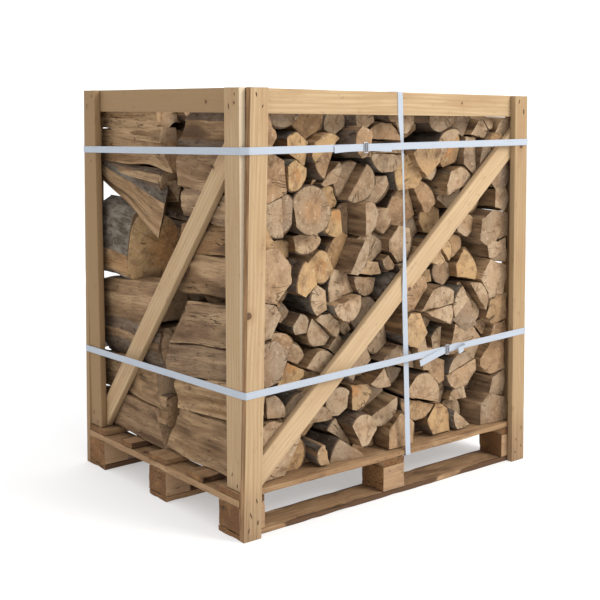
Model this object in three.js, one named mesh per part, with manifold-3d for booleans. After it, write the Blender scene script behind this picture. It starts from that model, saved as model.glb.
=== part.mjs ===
// A crate of split firewood: a block pallet with nailed corner boards, top rails and diagonal
// braces, two rows of split logs standing on its deck, and three woven lashing straps.
//
// Frame: millimetres, +Z up. X runs along the long front, which faces -Y, and the long left-hand
// end of the crate faces -X. The origin is on the floor under the middle of the pallet.

import * as THREE from "three";
import Module from "manifold-3d";
import { mergeVertices } from "three/addons/utils/BufferGeometryUtils.js";

const wasm = await Module();
wasm.setup();

// ---------- driving dimensions ----------

const PALLET_LENGTH = 1100; // along X
const PALLET_DEPTH = 810; // along Y
const HEIGHT_LEFT = 1165; // top of the corner boards at the -X end
const HEIGHT_RIGHT = 1148; // the +X end stands a little lower
const GAP = 0.3; // between pieces that touch

const BOTTOM_BOARD_THICK = 16;
const BLOCK_HEIGHT = 72;
const BLOCK_LENGTH = 84; // along X
const STRINGER_THICK = 20;
const DECK_THICK = 18;

// Each band is [near edge, far edge] measured from the front of the pallet.
const BLOCK_ROWS = [[0, 95], [358, 452], [714, 810]];
const BOTTOM_BOARDS = [[0, 97], [356, 454], [712, 810]];
const DECK_BOARDS = [[0, 95], [168, 252], [357, 449], [546, 615], [712, 810]];

const BOARD_THICK = 20; // all crate boards
const FACE_BOARD_WIDTH = 57; // corner boards nailed to the front and back
const END_BOARD_WIDTH = 66; // corner boards at the two ends
const END_BOARD_INSET = 8; // from the end of the pallet
const RAIL_WIDTH = 64;
const BRACE_WIDTH = 60;

// Lean of each front and back corner board: how far its top is moved along +X.
const LEAN = { front_left: 29, front_right: -24, back_left: 18, back_right: -4 };

// Centre line of each brace: height at its low end and rise per millimetre of run.
const FACE_BRACE = { lowHeight: 132, rise: 0.87 }; // low end at the end boards' inner face
const END_BRACE = { lowHeight: 124, rise: 1.232 }; // low end at the back boards' inner face

const STRAP_WIDTH = 19;
const STRAP_THICK = 1.2;
// Height of each level strap at the front left corner, and its slope along X and along Y.
const LEVEL_STRAPS = {
  upper: { height: 1007, alongX: 0.001, alongY: -0.025 },
  lower: { height: 386, alongX: 0.029, alongY: -0.024 },
};
const UPRIGHT_STRAP = { xTop: 556, xBottom: 604 }; // measured from the -X end

const BUCKLE = { width: 18, height: 31, wire: 3.4 };
const BUCKLE_X = { upper: 409, lower: 737 }; // measured from the -X end

const ROW_GAP = 8; // between the two rows of logs
const ROW_CLEARANCE = 2; // between the logs and the boards round them
// Crowned top of the stack along X, as shares of the height from the deck to the middle of the rails.
const STACK_TOP = [0.985, 0.997, 1.004, 1.006, 1.004, 0.996, 0.98];

// ---------- derived levels and places ----------

const LEFT = -PALLET_LENGTH / 2;
const RIGHT = PALLET_LENGTH / 2;
const FRONT = -PALLET_DEPTH / 2;
const BACK = PALLET_DEPTH / 2;

const BLOCK_BOTTOM = BOTTOM_BOARD_THICK + GAP;
const STRINGER_BOTTOM = BOTTOM_BOARD_THICK + BLOCK_HEIGHT;
const DECK_BOTTOM = STRINGER_BOTTOM + STRINGER_THICK;
const DECK_TOP = DECK_BOTTOM + DECK_THICK;

const END_INNER = END_BOARD_INSET + BOARD_THICK; // inner face of an end board, from the pallet end
const FACE_RUN = PALLET_LENGTH - 2 * END_INNER - 2 * GAP;
const END_RUN = PALLET_DEPTH - 2 * BOARD_THICK - 2 * GAP;
const TOP_SLOPE = (HEIGHT_RIGHT - HEIGHT_LEFT) / PALLET_LENGTH;

// Height of the crate's top edge at a place along X.
function topAt(x) {
  return HEIGHT_LEFT + TOP_SLOPE * (x - LEFT);
}

// ---------- materials ----------

function material(color, roughness, metalness = 0) {
  return () => new THREE.MeshStandardMaterial({ color, roughness, metalness });
}

const FINISH = {
  crate: material(0xd9bb8c, 0.75),
  pallet: material(0xb08a5e, 0.85),
  logs: material(0xa98a66, 0.9),
  strap: material(0xdde7f2, 0.55),
  buckle: material(0x8f8f92, 0.35, 0.9),
};

// ---------- shape helpers ----------

const crate = new THREE.Group();

function addMesh(name, geometry, finish, parent = crate) {
  const mesh = new THREE.Mesh(geometry, FINISH[finish]());
  mesh.name = name;
  parent.add(mesh);
  return mesh;
}

// A box between two values on each axis, with its place in the mesh's position.
function addBoard(name, [x0, x1], [y0, y1], [z0, z1], finish) {
  const mesh = addMesh(name, new THREE.BoxGeometry(x1 - x0, y1 - y0, z1 - z0), finish);
  mesh.position.set((x0 + x1) / 2, (y0 + y1) / 2, (z0 + z1) / 2);
  return mesh;
}

function toSolid(geometry) {
  const bare = geometry.clone();
  bare.deleteAttribute("normal");
  bare.deleteAttribute("uv");
  const merged = mergeVertices(bare);
  return new wasm.Manifold(new wasm.Mesh({
    numProp: 3,
    vertProperties: merged.attributes.position.array,
    triVerts: new Uint32Array(merged.index.array),
  }));
}

function toGeometry(solid) {
  const mesh = solid.getMesh();
  const geometry = new THREE.BufferGeometry();
  geometry.setAttribute("position", new THREE.BufferAttribute(mesh.vertProperties, 3));
  geometry.setIndex(new THREE.BufferAttribute(mesh.triVerts, 1));
  return geometry;
}

// A closed outline as a THREE.Shape, from [x, y] pairs.
function outline(points) {
  return new THREE.Shape(points.map(([x, y]) => new THREE.Vector2(x, y)));
}

// ---------- pallet ----------

const BLOCK_COLUMNS = { left: LEFT, middle: -BLOCK_LENGTH / 2, right: RIGHT - BLOCK_LENGTH };
const ROW_NAMES = ["front", "centre", "back"];

function fromFront([near, far]) {
  return [FRONT + near, FRONT + far];
}

function addPallet() {
  ROW_NAMES.forEach((row, i) => {
    addBoard(`bottom_board_${row}`, [LEFT, RIGHT], fromFront(BOTTOM_BOARDS[i]),
      [0, BOTTOM_BOARD_THICK], "pallet");
    for (const [column, x] of Object.entries(BLOCK_COLUMNS)) {
      addBoard(`block_${row}_${column}`, [x, x + BLOCK_LENGTH], fromFront(BLOCK_ROWS[i]),
        [BLOCK_BOTTOM, STRINGER_BOTTOM], "pallet");
    }
  });
  for (const [column, x] of Object.entries(BLOCK_COLUMNS)) {
    addBoard(`stringer_${column}`, [x, x + BLOCK_LENGTH], [FRONT, BACK],
      [STRINGER_BOTTOM + GAP, DECK_BOTTOM], "pallet");
  }
  DECK_BOARDS.forEach((band, i) => {
    addBoard(`deck_board_${i + 1}`, [LEFT, RIGHT], fromFront(band),
      [DECK_BOTTOM + GAP, DECK_TOP], "pallet");
  });
}

// ---------- crate frame ----------

// A corner board on the front or back, standing on the floor and leaning along X.
function addFaceBoard(name, xFoot, y, height, lean) {
  const upright = new THREE.BoxGeometry(FACE_BOARD_WIDTH, BOARD_THICK, height);
  upright.translate(0, 0, height / 2);
  const shear = lean / height;
  upright.applyMatrix4(new THREE.Matrix4().set(1, 0, shear, 0, 0, 1, 0, 0, 0, 0, 1, 0, 0, 0, 0, 1));
  addMesh(name, upright, "crate").position.set(xFoot + FACE_BOARD_WIDTH / 2, y, 0);
}

function addCornerBoards() {
  const sides = {
    front: FRONT - GAP - BOARD_THICK / 2,
    back: BACK + GAP + BOARD_THICK / 2,
  };
  for (const [side, y] of Object.entries(sides)) {
    addFaceBoard(`${side}_board_left`, LEFT, y, HEIGHT_LEFT, LEAN[`${side}_left`]);
    addFaceBoard(`${side}_board_right`, RIGHT - FACE_BOARD_WIDTH, y, HEIGHT_RIGHT,
      LEAN[`${side}_right`]);
  }
  const nearBand = [FRONT, FRONT + END_BOARD_WIDTH];
  const farBand = [BACK - END_BOARD_WIDTH, BACK];
  const leftBand = [LEFT + END_BOARD_INSET, LEFT + END_INNER];
  const rightBand = [RIGHT - END_INNER, RIGHT - END_BOARD_INSET];
  addBoard("left_board_front", leftBand, nearBand, [DECK_TOP + GAP, HEIGHT_LEFT], "crate");
  addBoard("left_board_back", leftBand, farBand, [DECK_TOP + GAP, HEIGHT_LEFT], "crate");
  addBoard("right_board_front", rightBand, nearBand, [DECK_TOP + GAP, HEIGHT_RIGHT], "crate");
  addBoard("right_board_back", rightBand, farBand, [DECK_TOP + GAP, HEIGHT_RIGHT], "crate");
}

// Long rails on the front and back, sloping down to the lower end of the crate.
function addFaceRails() {
  const bands = { front: FRONT + BOARD_THICK / 2, back: BACK - BOARD_THICK / 2 };
  for (const [side, y] of Object.entries(bands)) {
    const length = FACE_RUN - RAIL_WIDTH * Math.abs(TOP_SLOPE);
    const rail = addMesh(`${side}_rail`, new THREE.BoxGeometry(length, BOARD_THICK, RAIL_WIDTH),
      "crate");
    rail.position.set(0, y, topAt(0) - RAIL_WIDTH / 2);
    rail.rotation.y = -Math.atan(TOP_SLOPE);
  }
}

// Short rails at the two ends, inside the end boards and between the long rails.
function addEndRails() {
  const band = [-END_RUN / 2, END_RUN / 2];
  const leftInner = LEFT + END_INNER + GAP;
  const rightInner = RIGHT - END_INNER - GAP;
  addBoard("left_rail", [leftInner, leftInner + BOARD_THICK], band,
    [HEIGHT_LEFT - RAIL_WIDTH, HEIGHT_LEFT], "crate");
  addBoard("right_rail", [rightInner - BOARD_THICK, rightInner], band,
    [HEIGHT_RIGHT - RAIL_WIDTH, HEIGHT_RIGHT], "crate");
}

// A diagonal board in an upright bay, drawn in X and Z with its thickness along Y. It rises from
// the bay's -X side, and is sawn off at the bay's sides, at the deck and under the rail.
function braceGeometry(run, rise, lowHeight, railBottom) {
  const length = 2 * run;
  const angle = Math.atan(rise);
  const plank = new THREE.BoxGeometry(length, BOARD_THICK, BRACE_WIDTH);
  plank.rotateY(-angle);
  plank.translate(0, 0, lowHeight + (rise * run) / 2);
  const bottom = DECK_TOP + GAP;
  const bay = new THREE.BoxGeometry(run, 2 * BOARD_THICK, railBottom - GAP - bottom);
  bay.translate(0, 0, (bottom + railBottom - GAP) / 2);
  return toGeometry(toSolid(plank).intersect(toSolid(bay)));
}

function addBraces() {
  const faceRailBottom = HEIGHT_RIGHT - RAIL_WIDTH;
  const bands = { front: FRONT + BOARD_THICK / 2, back: BACK - BOARD_THICK / 2 };
  for (const [side, y] of Object.entries(bands)) {
    const { rise, lowHeight } = FACE_BRACE;
    const run = FACE_RUN - 2 * RAIL_WIDTH * Math.abs(TOP_SLOPE);
    const brace = addMesh(`${side}_brace`, braceGeometry(run, rise, lowHeight, faceRailBottom),
      "crate");
    brace.position.set(0, y, 0);
    brace.rotation.z = side === "back" ? Math.PI : 0;
  }
  const { rise, lowHeight } = END_BRACE;
  const ends = { left: HEIGHT_LEFT - RAIL_WIDTH, right: HEIGHT_RIGHT - RAIL_WIDTH };
  for (const [side, railBottom] of Object.entries(ends)) {
    const brace = addMesh(`${side}_brace`, braceGeometry(END_RUN, rise, lowHeight, railBottom),
      "crate");
    const inward = END_INNER + GAP + BOARD_THICK / 2;
    brace.position.set(side === "left" ? LEFT + inward : RIGHT - inward, 0, 0);
    brace.rotation.z = side === "left" ? -Math.PI / 2 : Math.PI / 2;
  }
}

// ---------- firewood ----------

// One row of stacked logs as a closed block that reaches the tips of the logs.
function addLogRow(name, [y0, y1]) {
  const inset = END_INNER + BOARD_THICK + ROW_CLEARANCE;
  const x0 = LEFT + inset;
  const x1 = RIGHT - inset;
  const top = STACK_TOP.map((share, i) => {
    const x = x0 + ((x1 - x0) * i) / (STACK_TOP.length - 1);
    return [x, DECK_TOP + share * (topAt(x) - RAIL_WIDTH / 2 - DECK_TOP)];
  });
  const bottom = DECK_TOP + GAP;
  const profile = outline([[x1, bottom], ...top.reverse(), [x0, bottom]]);
  const row = new THREE.ExtrudeGeometry(profile, { depth: y1 - y0, bevelEnabled: false });
  row.rotateX(Math.PI / 2);
  addMesh(name, row, "logs").position.set(0, y1, 0);
}

function addFirewood() {
  const inset = BOARD_THICK + ROW_CLEARANCE;
  addLogRow("log_row_front", [FRONT + inset, -ROW_GAP / 2]);
  addLogRow("log_row_back", [ROW_GAP / 2, BACK - inset]);
}

// ---------- straps ----------

// The corners of the crate that a level strap bears on, grown by a clearance: the outer edge of
// each leaning corner board at the strap's height there, and the end boards where they stand out.
function strapCorners({ height, alongX, alongY }, grow) {
  const face = BOARD_THICK + GAP + grow;
  const leaning = (corner, x, y) => {
    const level = height + alongX * (x - LEFT) + alongY * (y - FRONT);
    return x + (LEAN[corner] * level) / HEIGHT_LEFT;
  };
  const frontRight = leaning("front_right", RIGHT, FRONT);
  const backRight = leaning("back_right", RIGHT, BACK);
  const backLeft = leaning("back_left", LEFT, BACK);
  const inset = END_BOARD_INSET;
  return [
    [leaning("front_left", LEFT, FRONT) - grow, FRONT - face],
    [frontRight + grow, FRONT - face],
    [Math.max(frontRight, RIGHT - inset) + grow, FRONT],
    [backRight + grow, BACK + face],
    [backLeft - grow, BACK + face],
    [Math.min(backLeft, LEFT + inset) - grow, BACK],
    [LEFT + inset - grow, FRONT],
  ];
}

function addLevelStrap(name, run) {
  const { height, alongX, alongY } = run;
  const band = outline(strapCorners(run, GAP + STRAP_THICK));
  band.holes.push(outline(strapCorners(run, GAP)));
  const loop = new THREE.ExtrudeGeometry(band, { depth: STRAP_WIDTH, bevelEnabled: false });
  loop.translate(0, 0, -STRAP_WIDTH / 2);
  loop.applyMatrix4(new THREE.Matrix4().set(
    1, 0, 0, 0,
    0, 1, 0, 0,
    alongX, alongY, 1, 0,
    0, 0, 0, 1,
  ));
  const middleHeight = height - alongX * LEFT - alongY * FRONT;
  addMesh(name, loop, "strap").position.set(0, 0, middleHeight);
}

// The upright strap goes round the deck and both long rails, in a plane that leans along X.
function addUprightStrap() {
  const { xTop, xBottom } = UPRIGHT_STRAP;
  const top = topAt(LEFT + xTop) + 0.5;
  const bottom = DECK_BOTTOM;
  const rectangle = (grow) => outline([
    [FRONT - grow, bottom - grow],
    [BACK + grow, bottom - grow],
    [BACK + grow, top + grow],
    [FRONT - grow, top + grow],
  ]);
  const band = rectangle(GAP + STRAP_THICK);
  band.holes.push(rectangle(GAP));
  const loop = new THREE.ExtrudeGeometry(band, { depth: STRAP_WIDTH, bevelEnabled: false });
  loop.translate(0, 0, -STRAP_WIDTH / 2);
  // The outline's x, y and depth become Y, Z and X, and X also shifts with the height.
  const lean = (xTop - xBottom) / (top - bottom);
  loop.applyMatrix4(new THREE.Matrix4().set(
    0, lean, 1, -lean * bottom,
    1, 0, 0, 0,
    0, 1, 0, 0,
    0, 0, 0, 1,
  ));
  addMesh("strap_upright", loop, "strap").position.set(LEFT + xBottom, 0, 0);
}

// A ladder buckle of bent wire: a frame with one bar across its middle.
function buckleGeometry() {
  const { width, height, wire } = BUCKLE;
  const windowWidth = (width - 3 * wire) / 2;
  let frame = toSolid(new THREE.BoxGeometry(width, wire, height));
  for (const side of [-1, 1]) {
    const opening = new THREE.BoxGeometry(windowWidth, 2 * wire, height - 2 * wire);
    opening.translate((side * (windowWidth + wire)) / 2, 0, 0);
    frame = frame.subtract(toSolid(opening));
  }
  return toGeometry(frame);
}

function addBuckles() {
  for (const [name, { height, alongX }] of Object.entries(LEVEL_STRAPS)) {
    const x = BUCKLE_X[name];
    const buckle = addMesh(`buckle_${name}`, buckleGeometry(), "buckle");
    const strapFace = FRONT - BOARD_THICK - GAP - GAP - STRAP_THICK;
    buckle.position.set(LEFT + x, strapFace - GAP - BUCKLE.wire / 2, height + alongX * x);
  }
}

function addStraps() {
  addLevelStrap("strap_upper", LEVEL_STRAPS.upper);
  addLevelStrap("strap_lower", LEVEL_STRAPS.lower);
  addUprightStrap();
  addBuckles();
}

// ---------- assembly ----------

addPallet();
addCornerBoards();
addFaceRails();
addEndRails();
addBraces();
addFirewood();
addStraps();

export default crate;
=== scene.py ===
"""The looks of a crate of split firewood.

A nailed softwood crate stands on a block pallet. It holds two rows of split logs, and three woven
lashing straps go round it. Metres, +Z up; the long front faces -Y. Every place comes from the CAD
frame, and the visible pieces stand in for its plain solids.
"""

import collections
import dataclasses
import itertools
import math
import random

import bmesh
import bpy
import numpy as np
from mathutils import Matrix, Vector


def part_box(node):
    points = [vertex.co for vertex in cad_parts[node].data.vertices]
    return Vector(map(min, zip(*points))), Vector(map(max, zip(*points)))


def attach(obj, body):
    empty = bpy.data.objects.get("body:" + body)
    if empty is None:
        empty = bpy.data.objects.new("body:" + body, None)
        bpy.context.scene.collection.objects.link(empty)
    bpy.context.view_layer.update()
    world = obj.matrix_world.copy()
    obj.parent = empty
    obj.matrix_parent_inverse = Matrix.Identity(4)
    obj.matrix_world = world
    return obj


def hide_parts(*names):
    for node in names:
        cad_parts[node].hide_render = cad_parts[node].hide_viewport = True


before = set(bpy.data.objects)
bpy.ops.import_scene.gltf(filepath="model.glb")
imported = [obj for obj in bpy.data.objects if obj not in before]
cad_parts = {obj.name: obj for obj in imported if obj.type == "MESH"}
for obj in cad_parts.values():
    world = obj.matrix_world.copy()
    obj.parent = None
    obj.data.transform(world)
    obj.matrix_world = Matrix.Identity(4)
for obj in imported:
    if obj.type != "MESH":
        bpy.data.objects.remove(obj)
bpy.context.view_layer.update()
BODY = "root"

UP = Vector((0, 0, 1))

# ---------- camera, floor and light ----------

CAMERA_PLACE = (-2.1252, -2.6237, 1.1206)
CAMERA_YAW = 38.68  # degrees from +Y towards +X
CAMERA_PITCH = -7.02
CAMERA_LENS = 65.7  # mm
CAMERA_SENSOR = 36
CAMERA_SHIFT = -0.10

KEY_PLACE = (1.8, -4.2, 3.4)
KEY_AIM = (0, 0, 0.5)
KEY_SIZE = 2.2
KEY_POWER = 190
KEY_COLOUR = (1, 0.97, 0.93)
SKY_STRENGTH = 1.3
FLOOR_SIZE = 60.0


def add_object(name, data):
    made = bpy.data.objects.new(name, data)
    bpy.context.scene.collection.objects.link(made)
    return made


def make_camera():
    data = bpy.data.cameras.new("camera")
    data.lens = CAMERA_LENS
    data.sensor_width = CAMERA_SENSOR
    data.shift_y = CAMERA_SHIFT
    data.clip_end = 200
    camera = add_object("camera", data)
    camera.location = CAMERA_PLACE
    camera.rotation_euler = (math.radians(90 + CAMERA_PITCH), 0, math.radians(-CAMERA_YAW))
    bpy.context.scene.camera = camera


def make_light():
    data = bpy.data.lights.new("key", "AREA")
    data.shape = "DISK"
    data.size = KEY_SIZE
    data.energy = KEY_POWER
    data.color = KEY_COLOUR
    light = add_object("key", data)
    light.location = KEY_PLACE
    light.rotation_euler = (Vector(KEY_AIM) - Vector(KEY_PLACE)).to_track_quat("-Z", "Y").to_euler()
    world = bpy.data.worlds.new("studio")
    world.use_nodes = True
    background = world.node_tree.nodes["Background"]
    background.inputs["Color"].default_value = (1, 1, 1, 1)
    background.inputs["Strength"].default_value = SKY_STRENGTH
    bpy.context.scene.world = world
    bpy.context.scene.view_settings.view_transform = "Standard"


def make_floor():
    bm = bmesh.new()
    bmesh.ops.create_grid(bm, x_segments=1, y_segments=1, size=FLOOR_SIZE / 2)
    mesh = bpy.data.meshes.new("floor")
    bm.to_mesh(mesh)
    bm.free()
    mesh.materials.append(new_material("white_floor", white_floor))
    add_object("floor", mesh)


# ---------- shader maths ----------

class Wire:
    """One socket in a material's node tree. Arithmetic on it adds Math nodes."""

    def __init__(self, tree, socket=None):
        self.tree = tree
        self.socket = socket

    def node(self, kind, settings=None, inputs=None, output=0):
        """Adds a node of that kind: its settings first, then its sockets' values or links."""
        made = self.tree.nodes.new("ShaderNode" + kind)
        for name, value in (settings or {}).items():
            setattr(made, name, value)
        for name, value in (inputs or {}).items():
            if isinstance(value, Wire):
                self.tree.links.new(value.socket, made.inputs[name])
            else:
                made.inputs[name].default_value = value
        return Wire(self.tree, made.outputs[output] if made.outputs else None)

    def math(self, operation, *values):
        return self.node("Math", {"operation": operation}, dict(enumerate(values)))

    def __add__(self, other):
        return self.math("ADD", self, other)

    def __radd__(self, other):
        return self.math("ADD", other, self)

    def __sub__(self, other):
        return self.math("SUBTRACT", self, other)

    def __rsub__(self, other):
        return self.math("SUBTRACT", other, self)

    def __mul__(self, other):
        return self.math("MULTIPLY", self, other)

    def __rmul__(self, other):
        return self.math("MULTIPLY", other, self)

    def __truediv__(self, other):
        return self.math("DIVIDE", self, other)

    def __abs__(self):
        return self.math("ABSOLUTE", self)

    def sine(self):
        return self.math("SINE", self)

    def wave(self):
        """Ripples from 0 to 1."""
        return self.sine() * 0.5 + 0.5

    def step(self, low, high):
        """0 below low, 1 above high and smooth between. With high under low it falls instead."""
        if low > high:
            return 1 - self.step(high, low)
        limits = {"Value": self, "From Min": low, "From Max": high}
        return self.node("MapRange", {"interpolation_type": "SMOOTHSTEP"}, limits)

    def stretched(self, x, y, z):
        return self.node("VectorMath", {"operation": "MULTIPLY"}, {0: self, 1: (x, y, z)})

    def moved(self, other):
        return self.node("VectorMath", {"operation": "ADD"}, {0: self, 1: other})

    def vector(self):
        """A vector with this value on X and Y."""
        return self.node("CombineXYZ", None, {0: self, 1: self})

    def part(self, axis):
        return self.node("SeparateXYZ", None, {0: self}, output="XYZ".index(axis))

    def length(self):
        return self.node("VectorMath", {"operation": "LENGTH"}, {0: self}, output=1)

    def noise(self, scale, detail=2.0, roughness=0.5, distortion=0.0):
        """Noise at one scale, or at a scale for each axis."""
        if isinstance(scale, tuple):
            return self.stretched(*scale).noise(1.0, detail, roughness, distortion)
        sockets = {"Vector": self, "Scale": scale, "Detail": detail,
                   "Roughness": roughness, "Distortion": distortion}
        return self.node("TexNoise", None, sockets)

    def mix(self, low, high):
        """The colour low where this is 0 and high where it is 1."""
        return self.node("Mix", {"data_type": "RGBA"}, {0: self, 6: low, 7: high}, output=2)

    def coat(self, mask, red, green, blue):
        """This colour, under a coat of paint as thick as the mask."""
        return mask.mix(self, paint(red, green, blue))


def paint(red, green, blue):
    """A colour read off a paint chart from 0 to 255, as the shaders need it."""
    values = [value / 255 for value in (red, green, blue)]
    return (*[((value + 0.055) / 1.055) ** 2.4 for value in values], 1.0)


def new_material(name, look):
    """A material from a look, which returns a Principled shader's sockets and a bump height."""
    made = bpy.data.materials.new(name)
    made.use_nodes = True
    tree = made.node_tree
    tree.nodes.clear()
    start = Wire(tree)
    sockets, height = look(start)
    if height is not None:
        sockets["Normal"] = start.node("Bump", None, {"Height": height, "Distance": 1.0})
    shader = start.node("BsdfPrincipled", None, sockets)
    start.node("OutputMaterial", None, {"Surface": shader})
    return made


# ---------- finishes ----------

def object_place(start):
    return start.node("TexCoord", output=3)


def attribute(start, name, output=1):
    """A mesh attribute: output 1 is its vector, 2 its number."""
    return start.node("Attribute", {"attribute_name": name}, output=output)


def matt(colour, roughness, specular):
    """A Principled shader's sockets for a surface that is neither metal nor glass."""
    return {"Base Color": colour, "Roughness": roughness, "Specular IOR Level": specular}


def white_floor(start):
    """A studio sweep lit a little from within, so that shadows on it stay light."""
    cloud = object_place(start).noise(0.4)
    tone = cloud.mix(paint(198, 198, 199), paint(202, 202, 202))
    glow = {"Emission Color": (1, 1, 1, 1), "Emission Strength": 0.36}
    return matt(tone, 0.9, 0.0) | glow, None


def board_grain(start):
    """Coordinates along, across and through a board, its tint, and its growth-ring figure."""
    grain = attribute(start, "grain")
    tint = attribute(start, "tint", 2)
    wander = grain.noise((1.6, 9, 9))
    across = grain.part("Y") + (wander - 0.5) * 0.045
    figure = (across * 480 + grain.noise((3, 60, 60)) * 5).wave()
    return grain, tint, figure


def knot_marks(start, grain):
    """A board's one knot: its dark middle with its rings, and how near it the grain is."""
    knot = attribute(start, "knot")
    flat = knot.stretched(1, 1, 0).moved((grain.noise(60) * 0.004).vector())
    distance = flat.length()
    radius = knot.part("Z")
    inside = (distance / radius).step(1.0, 0.72)
    rings = (distance * 2600).wave()
    return inside * (0.72 + rings * 0.28), (distance / radius).step(3.2, 0.6)


def wane(start, grain):
    """Bark left on a board's edge: 1 on it and 0 on clean wood."""
    depth = attribute(start, "wane", 2)
    ragged = (grain.noise((14, 60, 60), 4.0, 0.6) - 0.5) * 0.014
    return (depth + ragged).step(-0.0006, 0.0014)


def crate_board(start):
    grain, tint, figure = board_grain(start)
    knots, near_knot = knot_marks(start, grain)
    bark_edge = wane(start, grain)
    streaks = grain.noise((5, 190, 190), 4.0, 0.6)
    blotches = grain.noise((4, 16, 16), 3.0)
    colour = figure.mix(paint(163, 138, 105), paint(174, 150, 116))
    colour = colour.coat(streaks.step(0.35, 0.72) * 0.5, 146, 118, 85)
    colour = colour.coat(blotches.step(0.45, 0.72) * 0.7, 150, 121, 88)
    colour = colour.coat(tint * 0.9, 134, 108, 77)
    colour = colour.coat(tint * -1, 198, 174, 142)
    grime = grain.noise((30, 60, 60), 5.0, 0.65).step(0.58, 0.78)
    colour = colour.coat(grime * 0.6, 108, 84, 60)
    colour = colour.coat(near_knot * 0.35, 128, 96, 64)
    colour = colour.coat(knots, 74, 50, 34)
    foot = object_place(start).part("Z").step(0.20, 0.03)
    colour = colour.coat(foot * 0.55, 132, 106, 80)
    colour = colour.coat(foot * streaks.step(0.45, 0.65) * 0.5, 98, 74, 52)
    colour = colour.coat(bark_edge, 96, 70, 48)
    height = (figure * 0.00015 + streaks * 0.0005 - grime * 0.0003 - knots * 0.0006
              + bark_edge * streaks * 0.002)
    return matt(colour, 0.72 + streaks * 0.15, 0.25), height


def sawn_edge(start):
    """A board's rough narrow edge: brown, with dark streaks along it."""
    grain = attribute(start, "grain")
    streaks = grain.noise((9, 160, 160), 4.0, 0.6)
    colour = streaks.step(0.35, 0.65).mix(paint(150, 118, 85), paint(112, 84, 58))
    return matt(colour, 0.85, 0.2), streaks * 0.0016


def planed_edge(start):
    """A board's freshly planed narrow edge: pale, with a few rough spots."""
    grain = attribute(start, "grain")
    streaks = grain.noise((6, 200, 200), 3.0)
    rough = grain.noise((40, 90, 90), 4.0, 0.6)
    colour = streaks.mix(paint(196, 180, 156), paint(182, 163, 136))
    colour = colour.coat(rough.step(0.6, 0.75) * 0.4, 138, 112, 88)
    return matt(colour, 0.75, 0.25), rough * 0.0006


def pallet_board(start):
    grain, tint, figure = board_grain(start)
    knots, near_knot = knot_marks(start, grain)
    bark_edge = wane(start, grain)
    fibres = grain.noise((7, 240, 240), 5.0, 0.7)
    saw = (grain.part("X") * 1500 + grain.noise(30) * 6).wave()
    stains = grain.noise((7, 22, 22), 4.0, 0.6)
    colour = figure.mix(paint(146, 116, 85), paint(160, 131, 98))
    colour = colour.coat(fibres.step(0.3, 0.7) * 0.7, 122, 92, 64)
    colour = colour.coat(stains.step(0.48, 0.68) * 0.8, 104, 78, 57)
    colour = colour.coat(tint * 0.6, 132, 100, 69)
    colour = colour.coat(tint * -1, 180, 150, 120)
    fresh = grain.noise((9, 40, 40), 4.0, 0.6).step(0.54, 0.7)
    colour = colour.coat(fresh * 0.6, 178, 148, 112)
    pits = grain.noise((40, 150, 150), 3.0, 0.6).step(0.62, 0.72)
    colour = colour.coat(pits * 0.6, 78, 55, 38)
    colour = colour.coat(near_knot * 0.5, 98, 68, 44)
    colour = colour.coat(knots, 62, 42, 29)
    colour = colour.coat(bark_edge, 88, 64, 45)
    height = (fibres * 0.0016 + saw * 0.0003 - knots * 0.0008 - pits * 0.001
              + bark_edge * fibres * 0.002)
    return matt(colour, 0.85, 0.2), height


def board_end(start):
    """Sawn end grain of a board: darker, with the rings crossing it."""
    grain = attribute(start, "grain")
    bent = grain.part("Z") + grain.part("Y") * grain.part("Y") * 9 + grain.noise(25) * 0.006
    rings = (bent * 1700).wave()
    specks = grain.noise(420, 3.0, 0.7)
    colour = rings.mix(paint(108, 74, 45), paint(134, 98, 63))
    colour = colour.coat(grain.noise(16, 4.0, 0.6).step(0.48, 0.66) * 0.7, 158, 118, 76)
    colour = colour.coat(specks.step(0.42, 0.7), 76, 50, 31)
    crack = abs(grain.noise((12, 9, 30), 3.0) - 0.5).step(0.012, 0.002)
    colour = colour.coat(crack * 0.7, 48, 32, 21)
    height = rings * 0.0003 + specks * 0.0009
    return matt(colour, 0.9, 0.2), height


def log_place(start):
    """Coordinates from a log's pith, the same moved apart log by log, and the log's three tints."""
    pith = attribute(start, "pith")
    tint = attribute(start, "tint")
    own = pith.moved(tint.stretched(37, 53, 91))
    return pith, own, [tint.part(axis) for axis in "XYZ"]


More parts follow.
